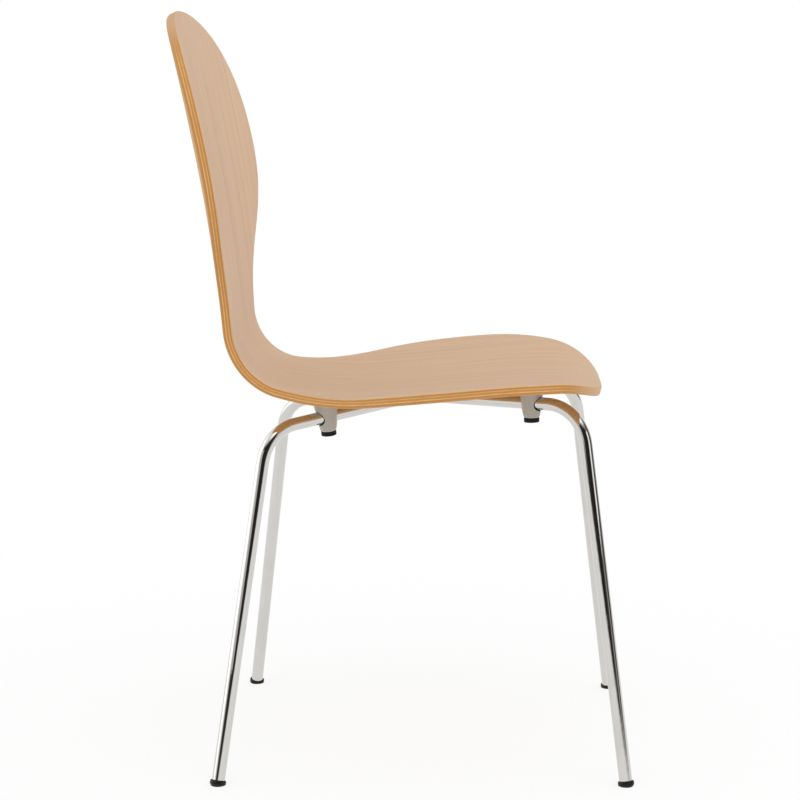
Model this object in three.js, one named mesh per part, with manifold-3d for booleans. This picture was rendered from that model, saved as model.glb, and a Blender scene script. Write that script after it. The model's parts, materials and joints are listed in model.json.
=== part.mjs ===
// Stacking chair: a one-piece moulded plywood shell on a frame of two bent steel tubes.
//
// Millimetres, +Z up. The sitter faces -Y, and +X is the sitter's left. The origin is on the
// floor, under the middle of the chair's outer box.
//
// The shell is drawn as a maker draws it: a flat blank with an outline, pressed over a mould
// whose centre line is a chain of tangent arcs and whose cross-section is dished. Each tube runs
// from a rear foot up to a bend, diagonally in to the middle of the chair, back out to a second
// bend and down to a front foot. Four saddles carry the shell on the tubes.

import * as THREE from 'three';
import { mergeVertices } from 'three/addons/utils/BufferGeometryUtils.js';
import Module from 'manifold-3d';

const wasm = await Module();
wasm.setup();

// ---------------------------------------------------------------- driving dimensions

// Clearances
const SEAT_GAP = 0.3;            // between pieces that bear on each other
const HOLE_CLEARANCE = 0.6;      // added to the radius of a hole that a screw passes

// Shell: ply, and where its front lip lies on the centre line
const PLY = 11;
const EDGE_ROUND = 2;
const LIP_Y = -209.3;
const LIP_Z = 439.13;
const LIP_ANGLE = 26.3;          // the lip's slope, in degrees below level

// Shell: centre line of the upper face, from the lip to the top of the back
const LIP_RUN = 58;
const LIP_TURN = -26.6;
const CREST_RUN = 78;
const CREST_TURN = -4.9;
const SEAT_RUN = 136;
const SCOOP_RUN = 106;
const SCOOP_TURN = 17.8;
const BEND_RUN = 97;
const BEND_TURN = 72.9;
const LUMBAR_RUN = 188;
const LUMBAR_TURN = -5.9;
const UPPER_BACK_RUN = 183;
const UPPER_BACK_TURN = -3;

// Shell: how much the edges at its two ends lean forward from square, in degrees, and over what
// length of the sheet that lean fades out
const LIP_END_LEAN = 15;
const TOP_END_LEAN = 12;
const END_LEAN_REACH = 60;

// Shell: dish across the seat and across the back
const SEAT_DISH_RADIUS = 1890;
const BACK_DISH_RADIUS = 1095;

// Shell: outline of the flat blank. Half-widths, and distances along the centre line.
const SEAT_HALF_WIDTH = 241;
const SEAT_WIDEST_AT = 162;
const WAIST_HALF_WIDTH = 119;
const WAIST_BEFORE_BEND_END = 8;
const BACK_HALF_WIDTH = 226.5;
const BACK_WIDEST_BELOW_TOP = 170;
// How far each curve of the outline holds its direction before it turns
const LIP_HOLD = 69;
const SEAT_HOLD_FORWARD = 162;
const SEAT_HOLD_BACK = 164;
const WAIST_HOLD_DOWN = 149;
const WAIST_HOLD_UP = 93;
const BACK_HOLD_DOWN = 104;
const BACK_HOLD_UP = 61;
const TOP_HOLD = 195;

// Frame: tube and its bends
const TUBE_RADIUS = 7.5;
const TUBE_WALL = 1.5;
const LEG_BEND_RADIUS = 53;
const MIDDLE_BEND_RADIUS = 62;
const HALF_GAP_BETWEEN_TUBES = 0.7;

// Frame: where the tube's centre line meets the floor, and the corners that its bends round off.
// The corners hang below the underside of the seat, so the frame follows the seat's height.
const REAR_FOOT_X = 207;
const REAR_FOOT_Y = 233;
const FRONT_FOOT_X = 196.5;
const FRONT_FOOT_Y = -233;
const REAR_CORNER_X = 116;
const REAR_CORNER_Y = 180;
const REAR_CORNER_DROP = 40.5;
const FRONT_CORNER_X = 116;
const FRONT_CORNER_Y = -182;
const FRONT_CORNER_DROP = 17;
const MIDDLE_Y = 10.4;

// Plate welded on top of both tubes where they meet, close under the seat
const PLATE_LENGTH = 46;
const PLATE_WIDTH = 40;
const PLATE_THICKNESS = 2.5;
const PLATE_CORNER_RADIUS = 6;

// Foot glides
const GLIDE_OVERHANG = 1.9;
const GLIDE_HEIGHT = 6;
const GLIDE_COLLAR = 3.4;        // the upright side of the glide
const GLIDE_SOLE_INSET = 4;      // how far the sole is drawn in below the collar
const GLIDE_EDGE_ROUND = 1;
const GLIDE_STEM_LENGTH = 14;

// Saddles: moulded blocks that hold the tube and carry the shell
const REAR_SADDLE_FROM_MIDDLE = 128;
const FRONT_SADDLE_FROM_MIDDLE = 160;
const SADDLE_WALL = 3.4;         // beside the tube
const SADDLE_FLARE = 3.9;        // how much wider than at the tube the saddle is under the seat
const SADDLE_FLOOR = 2.2;        // between the tube's bore and the screw's head
const SADDLE_FOOT_WALL = 2.5;    // round the pocket of the screw's head
const SADDLE_TUBE_PLAY = 0.7;    // slack under the tube, which hangs against the top of its bore

// Stacking bumpers: caps that close the saddles from below
const BUMPER_HEIGHT = 5.2;
const BUMPER_EDGE_ROUND = 0.8;
const BUMPER_RIM_HEIGHT = 2.2;
const BUMPER_RIM_WALL = 0.9;

// Screws, and the threaded inserts in the shell
const SCREW_RADIUS = 3;
const SCREW_HEAD_RADIUS = 5;
const SCREW_HEAD_HEIGHT = 2.6;
const SCREW_HEAD_ROOM = 2.6;     // free height below the screw's head
const SCREW_SOCKET_RADIUS = 1.9;
const SCREW_SOCKET_DEPTH = 1.6;
const INSERT_WALL = 1.9;
const INSERT_SINK = 1;           // how far the insert's mouth lies inside the shell
const INSERT_COVER = 3;          // ply left above the insert
const SCREW_END_ROOM = 1;        // between the ends of the screw and of the insert
const SCREW_POINT = 1;           // chamfer at the screw's end
const SCREW_HEAD_EDGE = 0.9;     // height of the slanted edge of the screw's head

// Smoothness of the solids
const BLANK_COLUMNS = 12;
const BLANK_ROWS = [12, 18, 10, 11];   // rows in each of the outline's four curves
const TUBE_SIDES = 16;
const BEND_STEPS = 6;
const TURNED_SIDES = 16;
const SADDLE_SIDE_STEPS = 5;
const PLATE_CORNER_STEPS = 5;
const SEARCH_STEPS = 40;
const SETTLING_STEPS = 20;
const WELD_TOLERANCE = 1e-3;

// ---------------------------------------------------------------- materials

const beech = new THREE.MeshStandardMaterial({ color: 0xd4b394, roughness: 0.5, metalness: 0 });
const chrome = new THREE.MeshStandardMaterial({ color: 0xd8d8d6, roughness: 0.08, metalness: 1 });
const greyPlastic = new THREE.MeshStandardMaterial({ color: 0xa79f95, roughness: 0.6 });
const blackPlastic = new THREE.MeshStandardMaterial({ color: 0x1d1b1a, roughness: 0.5 });
const blackRubber = new THREE.MeshStandardMaterial({ color: 0x1a1918, roughness: 0.8 });
const zincSteel = new THREE.MeshStandardMaterial({ color: 0xb9bcc0, roughness: 0.35, metalness: 1 });

// ---------------------------------------------------------------- solids

// Joins the vertices that coincide and drops the triangles that this closes up.
function weld(geometry) {
  const bare = geometry.clone();
  bare.deleteAttribute('normal');
  bare.deleteAttribute('uv');
  const merged = mergeVertices(bare, WELD_TOLERANCE);
  const corners = merged.getIndex().array;
  const kept = [];
  for (let i = 0; i < corners.length; i += 3) {
    const [a, b, c] = corners.slice(i, i + 3);
    if (a !== b && b !== c && c !== a) {
      kept.push(a, b, c);
    }
  }
  merged.setIndex(kept);
  return merged;
}

function toSolid(geometry) {
  const closed = weld(geometry);
  return new wasm.Manifold(new wasm.Mesh({
    numProp: 3,
    vertProperties: new Float32Array(closed.getAttribute('position').array),
    triVerts: new Uint32Array(closed.getIndex().array),
  }));
}

function toGeometry(solid) {
  const mesh = solid.getMesh();
  const geometry = new THREE.BufferGeometry();
  geometry.setAttribute('position', new THREE.BufferAttribute(new Float32Array(mesh.vertProperties), 3));
  geometry.setIndex(new THREE.BufferAttribute(new Uint32Array(mesh.triVerts), 1));
  geometry.computeVertexNormals();
  return geometry;
}

// The same shape on the other side of the chair, with its faces still pointing out.
function mirrored(geometry) {
  const other = weld(geometry);
  other.scale(-1, 1, 1);
  const corners = other.getIndex().array;
  for (let i = 0; i < corners.length; i += 3) {
    [corners[i], corners[i + 1]] = [corners[i + 1], corners[i]];
  }
  other.computeVertexNormals();
  return other;
}

// A shape turned about the Z axis. Its profile is [radius, height] pairs that go up on the outer
// side: from the axis back to the axis, or round a ring back to where they began.
function turned(profile) {
  const points = profile.map(([radius, height]) => new THREE.Vector2(radius, height));
  const geometry = new THREE.LatheGeometry(points, TURNED_SIDES);
  geometry.rotateX(Math.PI / 2);
  return weld(geometry);
}

// A cylinder along the Z axis between two heights.
function drill(radius, bottom, top) {
  return turned([[0, bottom], [radius, bottom], [radius, top], [0, top]]);
}

// ---------------------------------------------------------------- shell

const shellArcs = [
  { run: LIP_RUN, turn: LIP_TURN },
  { run: CREST_RUN, turn: CREST_TURN },
  { run: SEAT_RUN, turn: 0 },
  { run: SCOOP_RUN, turn: SCOOP_TURN },
  { run: BEND_RUN, turn: BEND_TURN },
  { run: LUMBAR_RUN, turn: LUMBAR_TURN },
  { run: UPPER_BACK_RUN, turn: UPPER_BACK_TURN },
];
const BEND_STARTS_AT = LIP_RUN + CREST_RUN + SEAT_RUN + SCOOP_RUN;
const BEND_ENDS_AT = BEND_STARTS_AT + BEND_RUN;
const SHELL_LENGTH = shellArcs.reduce((length, arc) => length + arc.run, 0);

// Point and heading of the centre line at a distance along it.
function centreLineAt(distance) {
  let y = LIP_Y;
  let z = LIP_Z;
  let heading = THREE.MathUtils.degToRad(LIP_ANGLE);
  let left = distance;
  for (const [i, arc] of shellArcs.entries()) {
    const last = i === shellArcs.length - 1;
    const step = last ? left : Math.min(left, arc.run);
    const turn = THREE.MathUtils.degToRad(arc.turn) * (step / arc.run);
    // The chord of an arc leaves at half its turn.
    const chord = turn === 0 ? step : (2 * step * Math.sin(turn / 2)) / turn;
    y += chord * Math.cos(heading + turn / 2);
    z += chord * Math.sin(heading + turn / 2);
    heading += turn;
    left -= step;
  }
  return { y, z, heading };
}

// Curvature across the shell, which changes from seat to back through the bend.
function dishAt(distance) {
  const back = THREE.MathUtils.smoothstep(distance, BEND_STARTS_AT, BEND_ENDS_AT);
  return THREE.MathUtils.lerp(1 / SEAT_DISH_RADIUS, 1 / BACK_DISH_RADIUS, back);
}

// How far forward a layer of the sheet lies from square, for each millimetre of its depth.
function endLeanAt(distance) {
  const lip = Math.max(1 - distance / END_LEAN_REACH, 0);
  const top = Math.max(1 - (SHELL_LENGTH - distance) / END_LEAN_REACH, 0);
  const lipLean = lip * Math.tan(THREE.MathUtils.degToRad(LIP_END_LEAN));
  const topLean = top * Math.tan(THREE.MathUtils.degToRad(TOP_END_LEAN));
  return lipLean + topLean;
}

// A point of the pressed shell: across, along, and how deep below the upper face.
function pressed(across, along, depth) {
  const distance = along - depth * endLeanAt(along);
  const { y, z, heading } = centreLineAt(distance);
  const dish = dishAt(distance);
  const rise = (dish * across * across) / 2;
  const tilt = Math.atan(dish * across);
  const lift = rise - depth * Math.cos(tilt);
  return new THREE.Vector3(
    across + depth * Math.sin(tilt),
    y - lift * Math.sin(heading),
    z + lift * Math.cos(heading),
  );
}

// Half of the blank's outline: x is the half-width, y the distance along the centre line.
const WAIST_AT = BEND_ENDS_AT - WAIST_BEFORE_BEND_END;
const BACK_WIDEST_AT = SHELL_LENGTH - BACK_WIDEST_BELOW_TOP;
const at = (halfWidth, distance) => new THREE.Vector2(halfWidth, distance);
const outline = [
  new THREE.CubicBezierCurve(
    at(0, 0),
    at(LIP_HOLD, 0),
    at(SEAT_HALF_WIDTH, SEAT_WIDEST_AT - SEAT_HOLD_FORWARD),
    at(SEAT_HALF_WIDTH, SEAT_WIDEST_AT),
  ),
  new THREE.CubicBezierCurve(
    at(SEAT_HALF_WIDTH, SEAT_WIDEST_AT),
    at(SEAT_HALF_WIDTH, SEAT_WIDEST_AT + SEAT_HOLD_BACK),
    at(WAIST_HALF_WIDTH, WAIST_AT - WAIST_HOLD_DOWN),
    at(WAIST_HALF_WIDTH, WAIST_AT),
  ),
  new THREE.CubicBezierCurve(
    at(WAIST_HALF_WIDTH, WAIST_AT),
    at(WAIST_HALF_WIDTH, WAIST_AT + WAIST_HOLD_UP),
    at(BACK_HALF_WIDTH, BACK_WIDEST_AT - BACK_HOLD_DOWN),
    at(BACK_HALF_WIDTH, BACK_WIDEST_AT),
  ),
  new THREE.CubicBezierCurve(
    at(BACK_HALF_WIDTH, BACK_WIDEST_AT),
    at(BACK_HALF_WIDTH, BACK_WIDEST_AT + BACK_HOLD_UP),
    at(TOP_HOLD, SHELL_LENGTH),
    at(0, SHELL_LENGTH),
  ),
];

// Stations round half the outline, each with the direction that points out of the blank.
const stations = [];
for (const [i, curve] of outline.entries()) {
  for (let row = i === 0 ? 0 : 1; row <= BLANK_ROWS[i]; row += 1) {
    const t = row / BLANK_ROWS[i];
    const tangent = curve.getTangent(t);
    stations.push({ point: curve.getPoint(t), out: new THREE.Vector2(tangent.y, -tangent.x) });
  }
}

// The ply's section at its edge: how deep each layer lies and how far its edge is drawn in.
function edgeLayers(thickness, round) {
  const slant = round * (1 - Math.SQRT1_2);
  return [
    { depth: 0, inset: round },
    { depth: slant, inset: slant },
    { depth: round, inset: 0 },
    { depth: thickness - round, inset: 0 },
    { depth: thickness - slant, inset: slant },
    { depth: thickness, inset: round },
  ];
}

// Presses a blank: a grid of columns and rows, cut to the outline and bent over the mould.
function pressBlank(layers) {
  const rows = stations.length - 1;
  const blank = new THREE.BoxGeometry(1, 1, 1, BLANK_COLUMNS, rows, layers.length - 1);
  const position = blank.getAttribute('position');
  for (let i = 0; i < position.count; i += 1) {
    const station = stations[Math.round((position.getY(i) + 0.5) * rows)];
    const layer = layers[Math.round((0.5 - position.getZ(i)) * (layers.length - 1))];
    const rim = station.point.clone().addScaledVector(station.out, -layer.inset);
    const across = 2 * position.getX(i) * Math.max(rim.x, 0);
    const { x, y, z } = pressed(across, rim.y, layer.depth);
    position.setXYZ(i, x, y, z);
  }
  return blank;
}

// Height of the seat's underside above a point of the floor.
function undersideAbove(x, y) {
  let front = 0;
  let back = BEND_STARTS_AT;
  for (let i = 0; i < SEARCH_STEPS; i += 1) {
    const middle = (front + back) / 2;
    if (pressed(x, middle, PLY).y < y) {
      front = middle;
    } else {
      back = middle;
    }
  }
  return pressed(x, front, PLY).z;
}

// ---------------------------------------------------------------- frame

// A line through corners, each rounded off by a bend. Its stations are the ends of the straight
// lengths and even steps round the bends, so that an extrusion spends no faces on straights.
class BentLine extends THREE.Curve {
  constructor(start, bends, end) {
    super();
    this.stations = [];
    const corners = [start, ...bends.map((bend) => bend.corner), end];
    this.#add(start, corners[1].clone().sub(start).normalize());
    for (const [i, bend] of bends.entries()) {
      this.#addBend(corners[i], bend.corner, corners[i + 2], bend.radius);
    }
    this.#add(end, end.clone().sub(corners[corners.length - 2]).normalize());
  }

  #add(point, tangent) {
    this.stations.push({ point: point.clone(), tangent });
  }

  #addBend(before, corner, after, radius) {
    const from = corner.clone().sub(before).normalize();
    const to = after.clone().sub(corner).normalize();
    const turn = from.angleTo(to);
    const start = corner.clone().addScaledVector(from, -radius * Math.tan(turn / 2));
    const inward = to.clone().addScaledVector(from, -from.dot(to)).normalize();
    for (let step = 0; step <= BEND_STEPS; step += 1) {
      const angle = (turn * step) / BEND_STEPS;
      const point = start.clone();
      point.addScaledVector(from, radius * Math.sin(angle));
      point.addScaledVector(inward, radius * (1 - Math.cos(angle)));
      const tangent = from.clone().multiplyScalar(Math.cos(angle));
      tangent.addScaledVector(inward, Math.sin(angle));
      this.#add(point, tangent);
    }
  }

  #station(u) {
    return this.stations[Math.round(u * (this.stations.length - 1))];
  }

  getPointAt(u, target = new THREE.Vector3()) {
    return target.copy(this.#station(u).point);
  }

  getTangentAt(u, target = new THREE.Vector3()) {
    return target.copy(this.#station(u).tangent);
  }
}

// A point of the tube's centre line, below the underside of the seat
function hungPoint(x, y, drop) {
  return new THREE.Vector3(x, y, undersideAbove(x, y) - drop);
}

const rearFoot = new THREE.Vector3(REAR_FOOT_X, REAR_FOOT_Y, 0);
const frontFoot = new THREE.Vector3(FRONT_FOOT_X, FRONT_FOOT_Y, 0);
const rearCorner = hungPoint(REAR_CORNER_X, REAR_CORNER_Y, REAR_CORNER_DROP);
const frontCorner = hungPoint(FRONT_CORNER_X, FRONT_CORNER_Y, FRONT_CORNER_DROP);

// The corner in the middle of the tube. Its bend has to clear the tube's mirror image, and the
// plate has to fit between it and the seat.
function findMiddleCorner() {
  const corner = hungPoint(0, MIDDLE_Y, PLATE_THICKNESS + 2 * SEAT_GAP + TUBE_RADIUS);
  const apexX = TUBE_RADIUS + HALF_GAP_BETWEEN_TUBES;
  for (let i = 0; i < SETTLING_STEPS; i += 1) {
    const rear = rearCorner.clone().sub(corner).normalize();
    const front = frontCorner.clone().sub(corner).normalize();
    const inward = rear.clone().add(front).normalize();
    const cut = MIDDLE_BEND_RADIUS * (1 / Math.sin(rear.angleTo(front) / 2) - 1);
    corner.x = apexX - cut * inward.x;
  }
  return corner;
}

const middleCorner = findMiddleCorner();

// Moves the end of a leg's centre line up from the floor by the height of its glide.
function legEnd(foot, corner) {
  const up = corner.clone().sub(foot).normalize();
  return foot.clone().addScaledVector(up, GLIDE_HEIGHT);
}

const tubeLine = new BentLine(
  legEnd(rearFoot, rearCorner),
  [
    { corner: rearCorner, radius: LEG_BEND_RADIUS },
    { corner: middleCorner, radius: MIDDLE_BEND_RADIUS },
    { corner: frontCorner, radius: LEG_BEND_RADIUS },
  ],
  legEnd(frontFoot, frontCorner),
);

function makeTube() {
  const section = new THREE.Shape();
  section.absarc(0, 0, TUBE_RADIUS, 0, 2 * Math.PI, false);
  const bore = new THREE.Path();
  bore.absarc(0, 0, TUBE_RADIUS - TUBE_WALL, 0, 2 * Math.PI, true);
  section.holes.push(bore);
  return new THREE.ExtrudeGeometry(section, {
    steps: tubeLine.stations.length - 1,
    curveSegments: TUBE_SIDES / 2,
    extrudePath: tubeLine,
  });
}

// ---------------------------------------------------------------- saddles and what they hold

// A place on the left tube where a saddle sits. Local Z is the saddle's axis, square to the
// tube, local X lies along the tube and local Y points to the inner side of the frame.
function saddlePlace(corner, fromMiddle) {
  const run = corner.clone().sub(middleCorner).normalize();
  const inward = new THREE.Vector3(0, 0, 1).cross(run).normalize();
  inward.multiplyScalar(-Math.sign(inward.x));
  const up = run.clone().cross(inward);
  up.multiplyScalar(Math.sign(up.z));
  const along = inward.clone().cross(up);
  const origin = middleCorner.clone().addScaledVector(run, fromMiddle);
  const matrix = new THREE.Matrix4().makeBasis(along, inward, up).setPosition(origin);
  // Where the axis meets the underside of the seat
  let reach = 0;
  for (let i = 0; i < SETTLING_STEPS; i += 1) {
    const point = origin.clone().addScaledVector(up, reach);
    reach += (undersideAbove(point.x, point.y) - point.z) / up.z;
  }
  return { matrix, reach };
}

const saddlePlaces = {
  rear: saddlePlace(rearCorner, REAR_SADDLE_FROM_MIDDLE),
  front: saddlePlace(frontCorner, FRONT_SADDLE_FROM_MIDDLE),
};

// Local heights of what is stacked in a saddle, from the tube's axis down
const BORE_RADIUS = TUBE_RADIUS + SEAT_GAP + SADDLE_TUBE_PLAY;
const BORE_CENTRE = -SADDLE_TUBE_PLAY;
const SCREW_SEAT = BORE_CENTRE - BORE_RADIUS - SADDLE_FLOOR;
const SCREW_HEAD_TOP = SCREW_SEAT - SEAT_GAP;
const SCREW_HEAD_BOTTOM = SCREW_HEAD_TOP - SCREW_HEAD_HEIGHT;
const SADDLE_FOOT = SCREW_HEAD_BOTTOM - SCREW_HEAD_ROOM;
const BUMPER_TOP = SADDLE_FOOT - SEAT_GAP;
const BUMPER_BOTTOM = BUMPER_TOP - BUMPER_HEIGHT;

const PASSAGE_RADIUS = SCREW_RADIUS + HOLE_CLEARANCE;
const INSERT_RADIUS = SCREW_RADIUS + SEAT_GAP + INSERT_WALL;
const INSERT_LENGTH = PLY - INSERT_SINK - INSERT_COVER;
const RIM_BORE_RADIUS = SCREW_HEAD_RADIUS + SEAT_GAP;
const RIM_RADIUS = RIM_BORE_RADIUS + BUMPER_RIM_WALL;
const HEAD_POCKET_RADIUS = RIM_RADIUS + SEAT_GAP;
const FOOT_RADIUS = HEAD_POCKET_RADIUS + SADDLE_FOOT_WALL;
const SADDLE_RADIUS = BORE_RADIUS + SADDLE_WALL;
const SADDLE_TOP_RADIUS = SADDLE_RADIUS + SADDLE_FLARE;

// The cutter that takes the seat's shape out of a saddle: the ply, thicker by the gap.
const seatCutter = toSolid(pressBlank([
  { depth: -2 * SADDLE_TOP_RADIUS, inset: 0 },
  { depth: PLY + SEAT_GAP, inset: 0 },
]));

function makeSaddle({ matrix, reach }) {
  const top = reach + SADDLE_TOP_RADIUS / 2;
  // One sweep from the wide head, past the tube, to the narrow foot
  const side = new THREE.CubicBezierCurve(
    at(FOOT_RADIUS, SADDLE_FOOT),
    at(SADDLE_RADIUS, BORE_CENTRE - BORE_RADIUS),
    at(SADDLE_RADIUS, TUBE_RADIUS),
    at(SADDLE_TOP_RADIUS, reach),
  );
  const body = toSolid(turned([
    [0, SADDLE_FOOT],
    ...side.getPoints(SADDLE_SIDE_STEPS).map((point) => point.toArray()),
    [SADDLE_TOP_RADIUS, top],
    [0, top],
  ]).applyMatrix4(matrix));

  const borePlace = new THREE.Matrix4().makeRotationY(Math.PI / 2);
  borePlace.setPosition(0, 0, BORE_CENTRE);
  const bore = drill(BORE_RADIUS, -2 * SADDLE_TOP_RADIUS, 2 * SADDLE_TOP_RADIUS);
  bore.applyMatrix4(borePlace).applyMatrix4(matrix);

  const passage = drill(PASSAGE_RADIUS, 2 * SADDLE_FOOT, top).applyMatrix4(matrix);
  const pocket = drill(HEAD_POCKET_RADIUS, 2 * SADDLE_FOOT, SCREW_SEAT).applyMatrix4(matrix);

  // The slot on the inner side, through which the saddle is pushed onto the tube
  const slot = new THREE.BoxGeometry(4 * SADDLE_TOP_RADIUS, 2 * SADDLE_TOP_RADIUS, 2 * TUBE_RADIUS);
  slot.translate(0, SADDLE_TOP_RADIUS, BORE_CENTRE);
  slot.applyMatrix4(matrix);

  return toGeometry(body
    .subtract(toSolid(bore))
    .subtract(toSolid(slot))
    .subtract(toSolid(passage))
    .subtract(toSolid(pocket))
    .subtract(seatCutter));
}

function makeBumper() {
  const rimTop = BUMPER_TOP + SEAT_GAP + BUMPER_RIM_HEIGHT;
  return turned([
    [0, BUMPER_BOTTOM],
    [FOOT_RADIUS - BUMPER_EDGE_ROUND, BUMPER_BOTTOM],
    [FOOT_RADIUS, BUMPER_BOTTOM + BUMPER_EDGE_ROUND],
    [FOOT_RADIUS, BUMPER_TOP],
    [RIM_RADIUS, BUMPER_TOP],
    [RIM_RADIUS, rimTop],
    [RIM_BORE_RADIUS, rimTop],
    [RIM_BORE_RADIUS, BUMPER_TOP],
    [0, BUMPER_TOP],
  ]);
}

function makeScrew(reach) {
  const tip = reach + INSERT_SINK + INSERT_LENGTH - SCREW_END_ROOM;
  return turned([
    [0, SCREW_HEAD_BOTTOM + SCREW_SOCKET_DEPTH],
    [SCREW_SOCKET_RADIUS, SCREW_HEAD_BOTTOM + SCREW_SOCKET_DEPTH],
    [SCREW_SOCKET_RADIUS, SCREW_HEAD_BOTTOM],
    [(SCREW_SOCKET_RADIUS + SCREW_HEAD_RADIUS) / 2, SCREW_HEAD_BOTTOM],
    [SCREW_HEAD_RADIUS, SCREW_HEAD_BOTTOM + SCREW_HEAD_EDGE],
    [SCREW_HEAD_RADIUS, SCREW_HEAD_TOP],
    [SCREW_RADIUS, SCREW_HEAD_TOP],
    [SCREW_RADIUS, tip - SCREW_POINT],
    [SCREW_RADIUS - SCREW_POINT, tip],
    [0, tip],
  ]);
}

function makeInsert(reach) {
  const mouth = reach + INSERT_SINK;
  const end = mouth + INSERT_LENGTH;
  const thread = SCREW_RADIUS + SEAT_GAP;
  // A ring's profile closes on itself instead of meeting the axis.
  return turned([
    [thread, mouth],
    [INSERT_RADIUS, mouth],
    [INSERT_RADIUS, end],
    [thread, end],
    [thread, mouth],
  ]);
}

// ---------------------------------------------------------------- foot glides

function makeGlide(foot, corner) {
  const level = new THREE.Vector3(0, 0, 1);
  const up = corner.clone().sub(foot).normalize();
  const radius = TUBE_RADIUS + GLIDE_OVERHANG;
  const stem = TUBE_RADIUS - TUBE_WALL - SEAT_GAP;
  const shoulder = GLIDE_HEIGHT - SEAT_GAP;
  const stemEnd = shoulder + GLIDE_STEM_LENGTH;
  const sole = -radius * Math.tan(up.angleTo(level));
  const glide = turned([
    [0, sole],
    [radius - GLIDE_SOLE_INSET, sole],
    [radius, shoulder - GLIDE_COLLAR],
    [radius, shoulder - GLIDE_EDGE_ROUND],
    [radius - GLIDE_EDGE_ROUND, shoulder],
    [stem, shoulder],
    [stem, stemEnd - GLIDE_EDGE_ROUND],
    [stem - GLIDE_EDGE_ROUND, stemEnd],
    [0, stemEnd],
  ]);
  glide.applyQuaternion(new THREE.Quaternion().setFromUnitVectors(level, up));
  glide.translate(foot.x, foot.y, foot.z);
  // The floor cuts the sole flat.
  const floorSize = 8 * radius;
  const floor = new THREE.BoxGeometry(floorSize, floorSize, floorSize);
  floor.translate(foot.x, foot.y, -floorSize / 2);
  return toGeometry(toSolid(glide).subtract(toSolid(floor)));
}

// ---------------------------------------------------------------- centre plate

function makeCentrePlate() {
  const halfX = PLATE_WIDTH / 2;
  const halfY = PLATE_LENGTH / 2;
  const r = PLATE_CORNER_RADIUS;
  const shape = new THREE.Shape();
  shape.absarc(halfX - r, halfY - r, r, 0, Math.PI / 2, false);
  shape.absarc(r - halfX, halfY - r, r, Math.PI / 2, Math.PI, false);
  shape.absarc(r - halfX, r - halfY, r, Math.PI, 1.5 * Math.PI, false);
  shape.absarc(halfX - r, r - halfY, r, 1.5 * Math.PI, 2 * Math.PI, false);
  const plate = new THREE.ExtrudeGeometry(shape, {
    depth: PLATE_THICKNESS,
    bevelEnabled: false,
    curveSegments: PLATE_CORNER_STEPS,
  });
  // It lies on the tubes, in the slope that their middle bends share.
  const rear = rearCorner.clone().sub(middleCorner);
  const front = frontCorner.clone().sub(middleCorner);
  const square = front.cross(rear).normalize();
  const apex = tubeLine.getPointAt(0.5);
  plate.rotateX(-Math.atan2(square.y, square.z));
  plate.translate(0, apex.y, apex.z + (TUBE_RADIUS + SEAT_GAP) / square.z);
  return plate;
}

// ---------------------------------------------------------------- assembly

const chair = new THREE.Group();

function addMesh(name, geometry, material) {
  const mesh = new THREE.Mesh(geometry, material);
  mesh.name = name;
  chair.add(mesh);
  return mesh;
}

// Both sides of the chair, with the matrix that carries a turned piece across.
const sides = [
  { side: 'left', shape: (geometry) => geometry, place: (matrix) => matrix },
  {
    side: 'right',
    shape: mirrored,
    place: (matrix) => {
      const flip = new THREE.Matrix4().makeScale(-1, 1, 1);
      const flipAlong = new THREE.Matrix4().makeScale(-1, 1, 1);
      return flip.multiply(matrix).multiply(flipAlong);
    },
  },
];

let shell = toSolid(pressBlank(edgeLayers(PLY, EDGE_ROUND)));
let tube = toSolid(makeTube());

for (const [end, place] of Object.entries(saddlePlaces)) {
  const { matrix, reach } = place;
  const pocketTop = reach + INSERT_SINK + INSERT_LENGTH + SEAT_GAP;
  const pocket = drill(INSERT_RADIUS + SEAT_GAP, 0, pocketTop).applyMatrix4(matrix);
  const passage = drill(PASSAGE_RADIUS, -2 * TUBE_RADIUS, 2 * TUBE_RADIUS);
  shell = shell.subtract(toSolid(pocket)).subtract(toSolid(mirrored(pocket)));
  tube = tube.subtract(toSolid(passage.applyMatrix4(matrix)));
  const saddle = makeSaddle(place);
  const pieces = [
    [`${end}_bumper`, makeBumper(), blackRubber],
    [`${end}_screw`, makeScrew(reach), zincSteel],
    [`${end}_insert`, makeInsert(reach), zincSteel],
  ];
  for (const { side, shape, place: carry } of sides) {
    addMesh(`${end}_saddle_${side}`, shape(saddle), greyPlastic);
    for (const [name, geometry, material] of pieces) {
      addMesh(`${name}_${side}`, geometry, material).applyMatrix4(carry(matrix));
    }
  }
}

addMesh('seat_shell', toGeometry(shell), beech);
addMesh('centre_plate', makeCentrePlate(), chrome);
for (const { side, shape } of sides) {
  addMesh(`frame_tube_${side}`, shape(toGeometry(tube)), chrome);
  addMesh(`rear_glide_${side}`, shape(makeGlide(rearFoot, rearCorner)), blackPlastic);
  addMesh(`front_glide_${side}`, shape(makeGlide(frontFoot, frontCorner)), blackPlastic);
}

// The origin goes under the middle of the chair's outer box.
chair.updateMatrixWorld(true);
const outerBox = new THREE.Box3().setFromObject(chair, true);
chair.position.y = -(outerBox.min.y + outerBox.max.y) / 2;

export default chair;
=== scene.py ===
import json
import math

import bmesh
import bpy
from mathutils import Matrix, Vector
from mathutils.geometry import interpolate_bezier


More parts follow.
